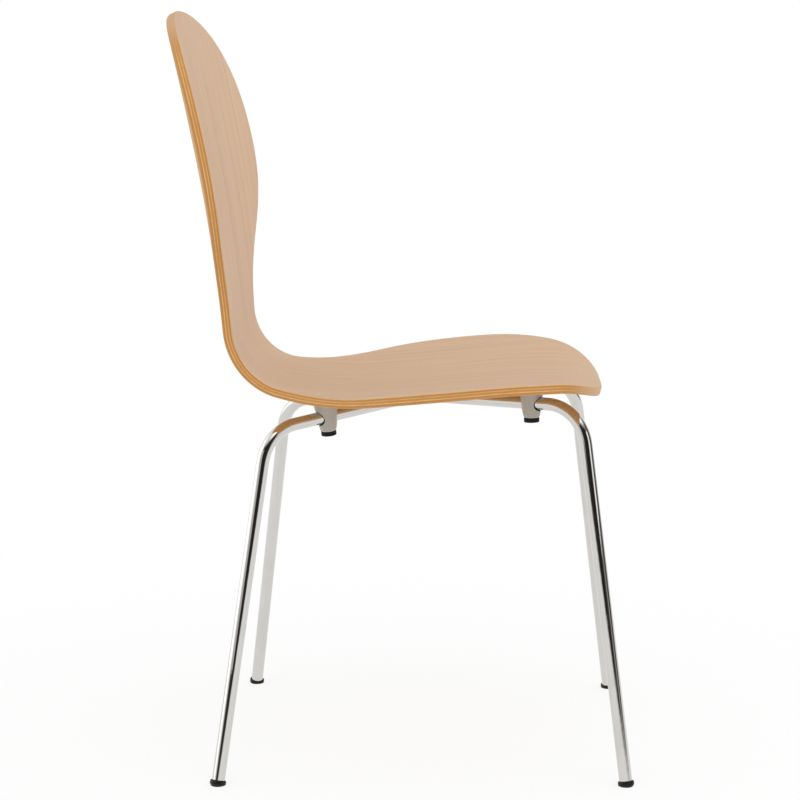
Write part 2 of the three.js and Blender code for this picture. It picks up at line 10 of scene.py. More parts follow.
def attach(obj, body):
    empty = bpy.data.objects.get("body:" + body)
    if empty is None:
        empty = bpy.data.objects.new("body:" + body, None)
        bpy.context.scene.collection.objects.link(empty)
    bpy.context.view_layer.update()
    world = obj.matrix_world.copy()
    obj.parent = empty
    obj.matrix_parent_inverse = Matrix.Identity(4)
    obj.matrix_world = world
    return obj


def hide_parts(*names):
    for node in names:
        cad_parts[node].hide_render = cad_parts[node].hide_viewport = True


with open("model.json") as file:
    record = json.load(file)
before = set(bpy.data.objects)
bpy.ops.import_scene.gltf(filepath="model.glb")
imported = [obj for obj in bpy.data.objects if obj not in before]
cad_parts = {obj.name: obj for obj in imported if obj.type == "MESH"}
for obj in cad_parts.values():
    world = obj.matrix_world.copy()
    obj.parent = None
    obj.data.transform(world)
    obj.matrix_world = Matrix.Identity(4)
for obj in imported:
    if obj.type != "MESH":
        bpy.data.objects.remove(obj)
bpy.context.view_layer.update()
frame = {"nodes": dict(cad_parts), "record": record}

# The looks of a stacking chair: a pressed plywood shell on two bent chrome tubes.
# Metres, +Z up. The sitter faces -Y, and +X is the sitter's left. Each piece of the frame is made
# for the left side, and mirrored for the right one.

mounts = {mount["name"]: mount for mount in frame["record"]["mounts"]}
SIDES = {"left": 1, "right": -1}

# ---------------------------------------------------------------- sizes

GAP = 0.0003                     # between pieces that bear on each other
SAME_PLACE = 1e-6                # points no further apart than this are merged
CORNER_ANGLE = 60                # degrees between faces that meet in a real corner

# The frame stands on its feet, and the shell and tubes are placed from the middle between them.
REAR_FOOT = Vector(mounts["rear_foot_left"]["pos_m"])
FRONT_FOOT = Vector(mounts["front_foot_left"]["pos_m"])
STANCE_Y = (REAR_FOOT.y + FRONT_FOOT.y) / 2

# Shell: the ply, and its centre line from the lip to the top of the back
PLY = 0.011
LAYERS = 7
EDGE_ROUND = 0.0025
LIP_Y = STANCE_Y - 0.2093
LIP_Z = 0.43913
LIP_SLOPE = 26.3                 # degrees
SHELL_ARCS = (                   # length, and turn in degrees
    (0.058, -26.6),              # lip
    (0.078, -4.9),               # crest under the thighs
    (0.136, 0.0),                # seat
    (0.106, 17.8),               # scoop
    (0.097, 72.9),               # bend
    (0.188, -5.9),               # small of the back
    (0.183, -3.0),               # upper back
)
SHELL_LENGTH = sum(run for run, turn in SHELL_ARCS)
BEND_START = sum(run for run, turn in SHELL_ARCS[:4])
BEND_END = BEND_START + SHELL_ARCS[4][0]
LIP_END_LEAN = 15                # degrees that the end's edge leans forward from square
TOP_END_LEAN = 12
END_LEAN_REACH = 0.060
SEAT_DISH_RADIUS = 1.890
BACK_DISH_RADIUS = 1.095

# Shell: the flat blank's outline. Points are half-width and distance from the lip, and a hold is
# how far the outline keeps to a point's own direction before it turns to the next.
LIP = Vector((0.0, 0.0))
SEAT_WIDEST = Vector((0.241, 0.162))
WAIST = Vector((0.119, BEND_END - 0.008))
BACK_WIDEST = Vector((0.2265, SHELL_LENGTH - 0.170))
TOP = Vector((0.0, SHELL_LENGTH))
LIP_HOLD = Vector((0.069, 0))
SEAT_HOLD_FORWARD = Vector((0, 0.162))
SEAT_HOLD_BACK = Vector((0, 0.164))
WAIST_HOLD_DOWN = Vector((0, 0.149))
WAIST_HOLD_UP = Vector((0, 0.093))
BACK_HOLD_DOWN = Vector((0, 0.104))
BACK_HOLD_UP = Vector((0, 0.061))
TOP_HOLD = Vector((0.195, 0))

# Shell: how finely it is modelled, and where the corners of the sheet's square grid lie
OUTLINE_STEPS = 120              # in each of the outline's curves
SHELL_GRID = (60, 180)           # squares across and along
ROUND_STEPS = 4                  # round its edge
BAND_LOOPS = 7                   # loops that follow the outline, outside the square grid
BAND = 0.021                     # width of their band
EVENING_STEPS = 300              # steps that even out the grid inside the band
FRONT_CORNER_RUN = 0.185         # along the edge from the middle of the lip
TOP_CORNER_RUN_BACK = 0.215      # and back from the middle of the top

# Tubes
TUBE_RADIUS = 0.0075
TUBE_WALL = 0.0015
TUBE_SIDES = 40
BEND_STEPS = 20
LEG_BEND_RADIUS = 0.053
MIDDLE_BEND_RADIUS = 0.062
REAR_CORNER = Vector((0.116, STANCE_Y + 0.180, 0.395065))
FRONT_CORNER = Vector((0.116, STANCE_Y - 0.182, 0.424245))
MIDDLE_CORNER = Vector((-0.004247, STANCE_Y + 0.0104, 0.418865))

# Foot glides
GLIDE_HEIGHT = 0.006
GLIDE_RADIUS = 0.0093
GLIDE_ROUND = 0.0016
GLIDE_COLLAR = 0.00396           # from its shoulder down to the end of its full width
GLIDE_LOWER_ROUND = 48           # degrees of rounding below that, down to the cone to the sole
GLIDE_SOLE_INSET = 0.0024
GLIDE_STEM_LENGTH = 0.014

# Saddles and bumpers, measured along the saddle's axis from the tube's axis
SADDLE_FOOT = 0.0169             # down, as are the drop, the pocket's top and the bumper's bottom
SADDLE_FOOT_RADIUS = 0.0090
SADDLE_FOOT_ROUND = 0.0005
SADDLE_RADIUS = 0.0119
SADDLE_TOP_RADIUS = 0.0158
SADDLE_FLARE_TOP = 0.0205        # up, where the side has flared out to the top radius
SADDLE_HEIGHT = 0.030            # up, before its top is cut to the seat
SADDLE_SIDE_STEPS = 14
SEAT_CUTTER_GRID = (24, 60)
BORE_RADIUS = 0.0085
BORE_DROP = 0.0007
BORE_REACH = 0.04                # to each side, well past the saddle
SLOT_LENGTH = 0.06
SLOT_DEPTH = 0.04
POCKET_RADIUS = 0.0065
POCKET_TOP = 0.0114
BUMPER_BOTTOM = 0.0224
BUMPER_RIM = 0.0022
BUMPER_RIM_WALL = 0.0009
BUMPER_ROUND = 0.0009
BUMPER_TOP_ROUND = 0.0003

# ---------------------------------------------------------------- shader helpers


def put(tree, kind, inputs=None, **settings):
    """Adds a shader node with its settings, and with a value or a link on each named input."""
    added = tree.nodes.new("ShaderNode" + kind)
    for key, value in settings.items():
        setattr(added, key, value)
    for key, value in (inputs or {}).items():
        if isinstance(value, bpy.types.NodeSocket):
            tree.links.new(value, added.inputs[key])
        else:
            added.inputs[key].default_value = value
    return added


def maths(tree, operation, first, second=0.0):
    return put(tree, "Math", {0: first, 1: second}, operation=operation).outputs[0]


def mix_colour(tree, share, first, second):
    """The first colour where the share is 0, and the second where it is 1."""
    return put(tree, "Mix", {0: share, 6: first, 7: second}, data_type="RGBA").outputs[2]


def stretch(tree, vector, factors):
    """Each part of a vector times its own factor."""
    return put(tree, "VectorMath", {0: vector, 1: factors}, operation="MULTIPLY").outputs[0]


def noise(tree, vector, scale=1.0, detail=3.0, roughness=0.55):
    """Soft random spots, from 0 to 1 and mostly near the middle."""
    inputs = {"Vector": vector, "Scale": scale, "Detail": detail, "Roughness": roughness}
    return put(tree, "TexNoise", inputs).outputs["Fac"]


def ramp(tree, value, low, high, to_low=0.0, to_high=1.0):
    """Goes smoothly from one result to another as the value goes from low to high."""
    inputs = {0: value, 1: low, 2: high, 3: to_low, 4: to_high}
    return put(tree, "MapRange", inputs, interpolation_type="SMOOTHSTEP").outputs[0]


def bump(tree, height, distance):
    inputs = {"Height": height, "Distance": distance, "Strength": 1.0}
    return put(tree, "Bump", inputs).outputs[0]


def new_finish(name):
    """A new material, its node tree and its shader."""
    material = bpy.data.materials.new(name)
    material.use_nodes = True
    tree = material.node_tree
    return material, tree, tree.nodes["Principled BSDF"]


def connect(tree, shader, **links):
    """Links nodes to the shader's inputs, which are named with _ for a space."""
    for name, socket in links.items():
        tree.links.new(socket, shader.inputs[name.replace("_", " ")])


# ---------------------------------------------------------------- finishes


# How fine each part of the grain is across, along and through the sheet, in spots per metre
STREAKS = (460.0, 6.0, 460.0)
LINES = (210.0, 2.4, 210.0)
BANDS = (26.0, 1.3, 26.0)
FLECKS = (1500.0, 210.0, 1500.0)
PORES = (1300.0, 900.0, 1300.0)

# Colours of the beech. A pair is the dark and the light of one wood.
UPPER_VENEER = (0.605, 0.402, 0.248, 1), (0.722, 0.505, 0.336, 1)
UPPER_BAND = (0.640, 0.420, 0.258, 1)
UPPER_LINE = (0.550, 0.352, 0.208, 1)
FLECK = (0.41, 0.235, 0.12, 1)
LOWER_VENEER = (0.530, 0.258, 0.078, 1), (0.650, 0.345, 0.120, 1)
LOWER_LINE = (0.430, 0.190, 0.052, 1)
LONG_GRAIN_EDGE = (0.630, 0.335, 0.110, 1), (0.760, 0.445, 0.180, 1)
END_GRAIN_EDGE = (0.400, 0.170, 0.034, 1), (0.560, 0.262, 0.072, 1)
LAYER_TONE = (0.580, 0.275, 0.072, 1)
GLUE = (0.300, 0.118, 0.022, 1)
LOWEST_LAYER = (0.490, 0.210, 0.046, 1)
SANDED_EDGE = (0.525, 0.315, 0.165, 1), (0.600, 0.375, 0.210, 1)


def beech_faces(tree, grain, fine, flecks, depth):
    """The two face veneers. The one behind the back and under the seat is darker and redder."""
    lines = noise(tree, stretch(tree, grain, LINES), detail=3.0)
    bands = noise(tree, stretch(tree, grain, BANDS), detail=2.0)
    upper = mix_colour(tree, fine, *UPPER_VENEER)
    upper = mix_colour(tree, ramp(tree, bands, 0.3, 0.7, 0.0, 0.5), upper, UPPER_BAND)
    upper = mix_colour(tree, ramp(tree, lines, 0.46, 0.72, 0.0, 0.85), upper, UPPER_LINE)
    upper = mix_colour(tree, maths(tree, "MULTIPLY", flecks, 0.4), upper, FLECK)
    lower = mix_colour(tree, fine, *LOWER_VENEER)
    lower = mix_colour(tree, ramp(tree, lines, 0.50, 0.75, 0.0, 0.5), lower, LOWER_LINE)
    return mix_colour(tree, ramp(tree, depth, 0.4, 0.6), upper, lower)


def beech_edge(tree, grain, fine, layer_place, crosswise, out_across, out_along):
    """The layers at the edge: end grain is dark, long grain is light, and thin glue is darkest."""
    end_cross = ramp(tree, maths(tree, "ABSOLUTE", out_across), 0.25, 0.65)
    facing_end = maths(tree, "ABSOLUTE", out_along)
    end_long = ramp(tree, facing_end, 0.6, 0.95)
    end_share = put(tree, "Mix", {0: crosswise, 2: end_long, 3: end_cross}).outputs[0]
    pores = noise(tree, stretch(tree, grain, PORES), detail=2.0)
    long_grain = mix_colour(tree, fine, *LONG_GRAIN_EDGE)
    end_grain = mix_colour(tree, pores, *END_GRAIN_EDGE)
    edge = mix_colour(tree, end_share, long_grain, end_grain)

    # Each layer has a tone of its own
    layer = maths(tree, "FLOOR", layer_place)
    tone = put(tree, "TexWhiteNoise", {"W": layer}, noise_dimensions="1D").outputs["Value"]
    edge = mix_colour(tree, maths(tree, "MULTIPLY", tone, 0.45), edge, LAYER_TONE)
    into_layer = maths(tree, "SUBTRACT", maths(tree, "FRACT", layer_place), 0.5)
    glue = ramp(tree, maths(tree, "ABSOLUTE", into_layer), 0.38, 0.49, 0.0, 0.5)
    edge = mix_colour(tree, glue, edge, GLUE)

    # The lowest layer is the redder face veneer
    lowest = ramp(tree, layer_place, LAYERS - 1.1, LAYERS - 0.7, 0.0, 0.8)
    edge = mix_colour(tree, lowest, edge, LOWEST_LAYER)

    # Across the top and the lip the edge is sanded paler, with only a trace of its layers
    sanded = mix_colour(tree, pores, *SANDED_EDGE)
    return mix_colour(tree, ramp(tree, facing_end, 0.75, 0.97, 0.0, 0.8), edge, sanded)


def beech_plywood():
    """Beech veneer along the shell, on layers of beech that cross each other at the edge."""
    material, tree, shader = new_finish("beech_plywood")
    place = put(tree, "Attribute", attribute_name="blank_place").outputs["Vector"]
    out = put(tree, "Attribute", attribute_name="blank_out").outputs["Vector"]
    across, along, height = put(tree, "SeparateXYZ", {0: place}).outputs
    out_across, out_along, out_up = put(tree, "SeparateXYZ", {0: out}).outputs

    # Which layer of the ply this is, and which way its grain runs
    depth = maths(tree, "DIVIDE", height, -PLY)
    inside = put(tree, "Clamp", {0: depth, 1: 0.001, 2: 0.999}).outputs[0]
    layer_place = maths(tree, "MULTIPLY", inside, LAYERS)
    crosswise = maths(tree, "MODULO", maths(tree, "FLOOR", layer_place), 2.0)
    crossed = put(tree, "CombineXYZ", {0: along, 1: across, 2: height}).outputs[0]
    grain = put(tree, "Mix", {0: crosswise, 4: place, 5: crossed}, data_type="VECTOR").outputs[1]

    # Fine straight grain and the short dark flecks of beech
    streaks = noise(tree, stretch(tree, grain, STREAKS), detail=4.0, roughness=0.6)
    fine = ramp(tree, streaks, 0.28, 0.72)
    flecks = ramp(tree, noise(tree, stretch(tree, grain, FLECKS), detail=1.0), 0.62, 0.74)
    faces = beech_faces(tree, grain, fine, flecks, depth)
    edge = beech_edge(tree, grain, fine, layer_place, crosswise, out_across, out_along)
    on_edge = ramp(tree, maths(tree, "ABSOLUTE", out_up), 0.50, 0.90, 1.0, 0.0)
    connect(
        tree,
        shader,
        Base_Color=mix_colour(tree, on_edge, faces, edge),
        Roughness=ramp(tree, streaks, 0.3, 0.7, 0.40, 0.52),
        Normal=bump(tree, maths(tree, "SUBTRACT", fine, flecks), 0.00004),
    )
    shader.inputs["Specular IOR Level"].default_value = 0.30
    return material


def bright_chrome():
    """Polished chrome plating, with the faint waviness of drawn tube and a few smudges."""
    material, tree, shader = new_finish("bright_chrome")
    place = put(tree, "TexCoord").outputs["Object"]
    waves = noise(tree, place, scale=38.0, detail=2.0)
    smudges = ramp(tree, noise(tree, place, scale=24.0, detail=5.0), 0.45, 0.8)
    colour = mix_colour(tree, smudges, (0.650, 0.636, 0.610, 1), (0.600, 0.586, 0.562, 1))
    connect(
        tree,
        shader,
        Base_Color=colour,
        Roughness=ramp(tree, smudges, 0.0, 1.0, 0.035, 0.10),
        Normal=bump(tree, waves, 0.00006),
    )
    shader.inputs["Metallic"].default_value = 1.0
    return material


def grey_nylon():
    """Warm grey moulded nylon with a fine matt grain, and painted shade: the bore where the tube
    lies is painted black for the dark gap round the tube.
    """
    material, tree, shader = new_finish("grey_nylon")
    place = put(tree, "TexCoord").outputs["Object"]
    cloud = noise(tree, place, scale=90.0, detail=3.0)
    grit = noise(tree, place, scale=2600.0, detail=2.0)
    colour = mix_colour(tree, cloud, (0.375, 0.351, 0.306, 1), (0.452, 0.428, 0.382, 1))
    pits = ramp(tree, grit, 0.55, 0.8, 0.0, 0.25)
    colour = mix_colour(tree, pits, colour, (0.34, 0.30, 0.25, 1))
    painted_bore_shade = put(tree, "Attribute", attribute_name="painted_bore_shade").outputs["Fac"]
    # Painted shade: the bore's faces are painted near black for the shadow in the gap round the
    # tube
    colour = mix_colour(tree, painted_bore_shade, colour, (0.010, 0.009, 0.008, 1))
    connect(
        tree,
        shader,
        Base_Color=colour,
        Roughness=ramp(tree, cloud, 0.3, 0.7, 0.36, 0.46),
        Normal=bump(tree, grit, 0.00003),
    )
    return material


def black_finish(name, rough_low, rough_high, dust):
    """Black rubber or plastic, with dust and scuffs that lighten it a little."""
    material, tree, shader = new_finish(name)
    place = put(tree, "TexCoord").outputs["Object"]
    grit = noise(tree, place, scale=1800.0, detail=2.0)
    patches = noise(tree, place, scale=420.0, detail=4.0, roughness=0.7)
    scuffs = ramp(tree, patches, 0.55, 0.75, 0.0, dust)
    colour = mix_colour(tree, scuffs, (0.006, 0.0052, 0.005, 1), (0.060, 0.052, 0.048, 1))
    connect(
        tree,
        shader,
        Base_Color=colour,
        Roughness=ramp(tree, grit, 0.3, 0.7, rough_low, rough_high),
        Normal=bump(tree, grit, 0.00003),
    )
    shader.inputs["Specular IOR Level"].default_value = 0.25
    return material


def zinc_plate():
    """Bright zinc plating on steel, with the bluish bloom that it takes."""
    material, tree, shader = new_finish("zinc_plate")
    place = put(tree, "TexCoord").outputs["Object"]
    bloom = noise(tree, place, scale=160.0, detail=4.0)
    scratches = noise(tree, stretch(tree, place, (300.0, 300.0, 3000.0)), detail=2.0)
    colour = mix_colour(tree, bloom, (0.50, 0.52, 0.55, 1), (0.62, 0.62, 0.60, 1))
    connect(
        tree,
        shader,
        Base_Color=colour,
        Roughness=ramp(tree, scratches, 0.3, 0.7, 0.25, 0.42),
        Normal=bump(tree, scratches, 0.00001),
    )
    shader.inputs["Metallic"].default_value = 1.0
    return material


BEECH = beech_plywood()
CHROME = bright_chrome()
NYLON = grey_nylon()
RUBBER = black_finish("black_rubber", 0.62, 0.78, 0.25)
GLIDE_PLASTIC = black_finish("black_plastic", 0.32, 0.50, 0.35)
ZINC = zinc_plate()

# ---------------------------------------------------------------- making pieces


def verts_of(items):
    return [item for item in items if isinstance(item, bmesh.types.BMVert)]


def edges_of(items):
    return [item for item in items if isinstance(item, bmesh.types.BMEdge)]


def mesh_of(bm, name):
    """Makes an object of a shape, which is used up."""
    mesh = bpy.data.meshes.new(name)
    bm.to_mesh(mesh)
    bm.free()
    made = bpy.data.objects.new(name, mesh)
    bpy.context.scene.collection.objects.link(made)
    return made


def hand_over(made, finish, stands_for, sharp=35):
    """Shades a finished piece, gives it its finish and lets it ride on the chair."""
    made.data.shade_smooth()
    made.data.set_sharp_from_angle(angle=math.radians(sharp))
    made.data.materials.clear()
    made.data.materials.append(finish)
    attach(made, "root")
    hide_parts(stands_for)


def settle(made):
    """Makes what a piece's modifiers do part of its own mesh."""
    graph = bpy.context.evaluated_depsgraph_get()
    mesh = bpy.data.meshes.new_from_object(made.evaluated_get(graph))
    made.modifiers.clear()
    made.data = mesh


def turned(profile, sides=48):
    """A solid of revolution about the Z axis, from (radius, height) points that end on it."""
    bm = bmesh.new()
    points = [bm.verts.new((radius, 0.0, height)) for radius, height in profile]
    edges = [bm.edges.new(pair) for pair in zip(points, points[1:])]
    bmesh.ops.spin(
        bm,
        geom=points + edges,
        cent=(0, 0, 0),
        axis=(0, 0, 1),
        angle=2 * math.pi,
        steps=sides,
        use_merge=True,
    )
    bmesh.ops.remove_doubles(bm, verts=bm.verts, dist=SAME_PLACE)
    bmesh.ops.recalc_face_normals(bm, faces=bm.faces)
    return bm


def drill(radius, bottom, top):
    return turned([(0, bottom), (radius, bottom), (radius, top), (0, top)])


def rounded(centre, radius, start, end, steps=5):
    """Points of an arc of a profile. Angles are in degrees from the outward direction."""
    angles = [math.radians(start + (end - start) * step / steps) for step in range(steps + 1)]
    return [(centre[0] + radius * math.cos(a), centre[1] + radius * math.sin(a)) for a in angles]


def grow(bm, loop, shift):
    """Extrudes a loop of edges by a vector. Gives the new loop and its points."""
    grown = bmesh.ops.extrude_edge_only(bm, edges=loop)["geom"]
    points = verts_of(grown)
    bmesh.ops.translate(bm, verts=points, vec=shift)
    return edges_of(grown), points


def to_side(bm, side):
    """Carries a shape that was made for the left side across to its own side."""
    bmesh.ops.scale(bm, vec=(SIDES[side], 1, 1), verts=bm.verts)
    bmesh.ops.recalc_face_normals(bm, faces=bm.faces)


# ---------------------------------------------------------------- shell


def centre_line(distance):
    """Where the mould's centre line is at a distance from the lip: y, z and slope."""
    y, z, slope = LIP_Y, LIP_Z, math.radians(LIP_SLOPE)
    left = distance
    for i, (run, turn) in enumerate(SHELL_ARCS):
        last = i == len(SHELL_ARCS) - 1
        step = left if last else min(left, run)
        bend = math.radians(turn) * step / run
        chord = step if bend == 0 else 2 * step * math.sin(bend / 2) / bend
        y += chord * math.cos(slope + bend / 2)
        z += chord * math.sin(slope + bend / 2)
        slope += bend
        left -= step
    return y, z, slope


def dish(distance):
    """Curvature across the shell, which changes from seat to back through the bend."""
    share = min(max((distance - BEND_START) / (BEND_END - BEND_START), 0), 1)
    share = share * share * (3 - 2 * share)
    return (1 - share) / SEAT_DISH_RADIUS + share / BACK_DISH_RADIUS


def end_lean(distance):
    """How far forward a layer lies from square, for each metre of its depth in the sheet."""
    lip = max(1 - distance / END_LEAN_REACH, 0)
    top = max(1 - (SHELL_LENGTH - distance) / END_LEAN_REACH, 0)
    return lip * math.tan(math.radians(LIP_END_LEAN)) + top * math.tan(math.radians(TOP_END_LEAN))


def pressed(place):
    """Where the press carries a point of the flat blank: (across, along, height)."""
    across, along, height = place
    distance = along + height * end_lean(along)
    y, z, slope = centre_line(distance)
    tilt = math.atan(dish(distance) * across)
    lift = dish(distance) * across * across / 2 + height * math.cos(tilt)
    return Vector((
        across - height * math.sin(tilt),
        y - lift * math.sin(slope),
        z + lift * math.cos(slope),
    ))


def blank_edge():
    """The left half of the blank's outline, from the lip to the top, as close points."""
    curves = (
        (LIP, LIP + LIP_HOLD, SEAT_WIDEST - SEAT_HOLD_FORWARD, SEAT_WIDEST),
        (SEAT_WIDEST, SEAT_WIDEST + SEAT_HOLD_BACK, WAIST - WAIST_HOLD_DOWN, WAIST),
        (WAIST, WAIST + WAIST_HOLD_UP, BACK_WIDEST - BACK_HOLD_DOWN, BACK_WIDEST),
        (BACK_WIDEST, BACK_WIDEST + BACK_HOLD_UP, TOP + TOP_HOLD, TOP),
    )
    points = [LIP]
    for curve in curves:
        points += interpolate_bezier(*curve, OUTLINE_STEPS)[1:]
    return points


EDGE_POINTS = blank_edge()
EDGE_RUN = [0.0]                 # how far along the edge each of them is
for before, after in zip(EDGE_POINTS, EDGE_POINTS[1:]):
    EDGE_RUN.append(EDGE_RUN[-1] + (after - before).length)
TOP_CORNER_RUN = EDGE_RUN[-1] - TOP_CORNER_RUN_BACK


def edge_at(run, share):
    """A point at a distance along the left edge, drawn in by a share of the band."""
    low, high = 0, len(EDGE_RUN) - 1
    while high - low > 1:
        middle = (low + high) // 2
        low, high = (middle, high) if EDGE_RUN[middle] <= run else (low, middle)
    step = EDGE_POINTS[high] - EDGE_POINTS[low]
    inward = Vector((-step.y, step.x)) / step.length
    on_edge = EDGE_POINTS[low] + step * (run - EDGE_RUN[low]) / step.length
    return on_edge + inward * BAND * share


def mirrored(point, side):
    return Vector((point.x * side, point.y))


def on_blank(u, v, share):
    """Carries a square sheet, u from -1 to 1 and v from 0 to 1, onto the blank."""
    side = 1 if u >= 0 else -1
    front = mirrored(edge_at(abs(u) * FRONT_CORNER_RUN, share), side)
    top = mirrored(edge_at(EDGE_RUN[-1] + abs(u) * (TOP_CORNER_RUN - EDGE_RUN[-1]), share), side)
    flank = edge_at(FRONT_CORNER_RUN + v * (TOP_CORNER_RUN - FRONT_CORNER_RUN), share)
    front_corner = edge_at(FRONT_CORNER_RUN, share)
    top_corner = edge_at(TOP_CORNER_RUN, share)
    between = Vector((u * flank.x, flank.y)) + front.lerp(top, v)
    corners = front_corner.lerp(top_corner, v)
    return between - Vector((u * corners.x, corners.y))


def flat_blank(grid, top, bottom):
    """The blank before it is pressed: a sheet in the shell's outline, between two heights.

    It begins as a square grid. Loops are added round it for the band along the edge, and until
    they are laid on the blank, their height holds how far out in the band they are.
    """
    bm = bmesh.new()
    bmesh.ops.create_grid(bm, x_segments=grid[0], y_segments=grid[1], size=1.0)
    loop = [edge for edge in bm.edges if edge.is_boundary]
    for _ in range(BAND_LOOPS):
        loop, _outer = grow(bm, loop, (0, 0, 1 / BAND_LOOPS))
    for vert in bm.verts:
        u, v, outward = vert.co
        point = on_blank(u, (v + 1) / 2, 1 - outward)
        vert.co = (point.x, point.y, top)
    # The outline and the loop beside it stay, and the rest is evened out
    outline = {vert for edge in loop for vert in edge.verts}
    fixed = {end for vert in outline for edge in vert.link_edges for end in edge.verts}
    free = [vert for vert in bm.verts if vert not in fixed]
    for _ in range(EVENING_STEPS):
        bmesh.ops.smooth_vert(bm, verts=free, factor=0.5, use_axis_x=True, use_axis_y=True)
    extruded = bmesh.ops.extrude_face_region(bm, geom=bm.faces[:], use_keep_orig=True)
    bmesh.ops.translate(bm, verts=verts_of(extruded["geom"]), vec=(0, 0, bottom - top))
    bmesh.ops.recalc_face_normals(bm, faces=bm.faces)
    return bm


def press(bm):
    """Presses a flat blank into the shell's form."""
    for vert in bm.verts:
        vert.co = pressed(vert.co)
    bmesh.ops.recalc_face_normals(bm, faces=bm.faces)


def make_shell():
    """The shell. Each point keeps its place in the flat blank, and which way it faced there."""
    bm = flat_blank(SHELL_GRID, 0.0, -PLY)
    rim = [edge for edge in bm.edges if edge.calc_face_angle(0) > math.radians(CORNER_ANGLE)]
    bmesh.ops.bevel(
        bm,
        geom=rim,
        offset=EDGE_ROUND,
        segments=ROUND_STEPS,
        profile=0.5,
        affect="EDGES",
        material=-1,
    )
    bm.normal_update()
    place = bm.verts.layers.float_vector.new("blank_place")
    out = bm.verts.layers.float_vector.new("blank_out")
    for vert in bm.verts:
        vert[place] = vert.co.copy()
        vert[out] = vert.normal.copy()
    press(bm)
    made = mesh_of(bm, "plywood_shell")
    hand_over(made, BEECH, "seat_shell", sharp=CORNER_ANGLE)


# ---------------------------------------------------------------- tubes


def unit(start, end):
    return (end - start).normalized()


def bend_of(before, corner, after, radius):
    """Start of the bend that rounds off a corner, its centre, its axis and its angle."""
    inward, outward = unit(before, corner), unit(corner, after)
    angle = inward.angle(outward)
    axis = inward.cross(outward).normalized()
    start = corner - inward * radius * math.tan(angle / 2)
    return start, start + axis.cross(inward) * radius, axis, angle


def make_tube(side):
    """One side's tube, from the rear foot through the middle of the chair to the front foot."""
    rear_end = REAR_FOOT + unit(REAR_FOOT, REAR_CORNER) * GLIDE_HEIGHT
    front_end = FRONT_FOOT + unit(FRONT_FOOT, FRONT_CORNER) * GLIDE_HEIGHT
    line = [rear_end, REAR_CORNER, MIDDLE_CORNER, FRONT_CORNER, front_end]
    radii = [LEG_BEND_RADIUS, MIDDLE_BEND_RADIUS, LEG_BEND_RADIUS]

    bm = bmesh.new()
    here = rear_end
    aim = unit(here, REAR_CORNER).to_track_quat("Z", "Y").to_matrix().to_4x4()
    bmesh.ops.create_circle(
        bm,
        segments=TUBE_SIDES,
        radius=TUBE_RADIUS,
        matrix=Matrix.Translation(here) @ aim,
    )
    loop = bm.edges[:]
    for before, corner, after, radius in zip(line, line[1:], line[2:], radii):
        start, centre, axis, angle = bend_of(before, corner, after, radius)
        loop, points = grow(bm, loop, start - here)
        bent = bmesh.ops.spin(
            bm,
            geom=points + loop,
            cent=centre,
            axis=axis,
            angle=angle,
            steps=BEND_STEPS,
        )
        loop = edges_of(bent["geom_last"])
        here = centre + Matrix.Rotation(angle, 3, axis) @ (start - centre)
    grow(bm, loop, front_end - here)
    bmesh.ops.remove_doubles(bm, verts=bm.verts, dist=SAME_PLACE)
    to_side(bm, side)
    made = mesh_of(bm, f"chrome_tube_{side}")
    wall = made.modifiers.new("wall", "SOLIDIFY")
    wall.thickness = TUBE_WALL
    wall.offset = -1
    settle(made)
    hand_over(made, CHROME, f"frame_tube_{side}", sharp=CORNER_ANGLE)


# ---------------------------------------------------------------- foot glides


def make_glide(end, side):
    """A foot glide with its stem in the tube, and its sole cut flat on the floor."""
    foot, corner = (REAR_FOOT, REAR_CORNER) if end == "rear" else (FRONT_FOOT, FRONT_CORNER)
    leg = unit(foot, corner)
    shoulder = GLIDE_HEIGHT - GAP
    stem = TUBE_RADIUS - TUBE_WALL - GAP
    sole = -GLIDE_RADIUS * math.tan(leg.angle(Vector((0, 0, 1))))
    centre_radius = GLIDE_RADIUS - GLIDE_ROUND
    bm = turned([
        (0.0, sole),
        (GLIDE_RADIUS - GLIDE_SOLE_INSET, sole),
        *rounded((centre_radius, shoulder - GLIDE_COLLAR), GLIDE_ROUND, -GLIDE_LOWER_ROUND, 0),
        *rounded((centre_radius, shoulder - GLIDE_ROUND), GLIDE_ROUND, 0, 90),
        (stem, shoulder),
        (stem, shoulder + GLIDE_STEM_LENGTH),
        (0.0, shoulder + GLIDE_STEM_LENGTH),
    ])
    aim = Vector((0, 0, 1)).rotation_difference(leg).to_matrix().to_4x4()
    bmesh.ops.transform(bm, matrix=Matrix.Translation(foot) @ aim, verts=bm.verts)
    cut = bmesh.ops.bisect_plane(
        bm,
        geom=bm.verts[:] + bm.edges[:] + bm.faces[:],
        plane_co=(0, 0, 0),
        plane_no=(0, 0, -1),
        clear_outer=True,
    )
    bmesh.ops.edgeloop_fill(bm, edges=edges_of(cut["geom_cut"]))
    to_side(bm, side)
    made = mesh_of(bm, f"foot_glide_{end}_{side}")
    hand_over(made, GLIDE_PLASTIC, f"{end}_glide_{side}")


# ---------------------------------------------------------------- saddles and bumpers


def saddle_place(end):
    """Where the left saddle of that end sits: Z up its axis and Y to the frame's inner side."""
    mount = mounts[f"{end}_stacking_face_left"]
    up = -Vector(mount["axis"]).normalized()
    inward = Vector((0, 0, 1)).cross(up).normalized()
    along = inward.cross(up)
    origin = Vector(mount["pos_m"]) + up * BUMPER_BOTTOM
    turn = Matrix((along, inward, up)).transposed().to_4x4()
    return Matrix.Translation(origin) @ turn


def cut_from(body, cutters):
    """Cuts the cutters out of a piece and throws them away."""
    for cutter in cutters:
        cut = body.modifiers.new("cut", "BOOLEAN")
        cut.operation = "DIFFERENCE"
        cut.solver = "EXACT"
        cut.object = cutter
    settle(body)
    for cutter in cutters:
        bpy.data.objects.remove(cutter)


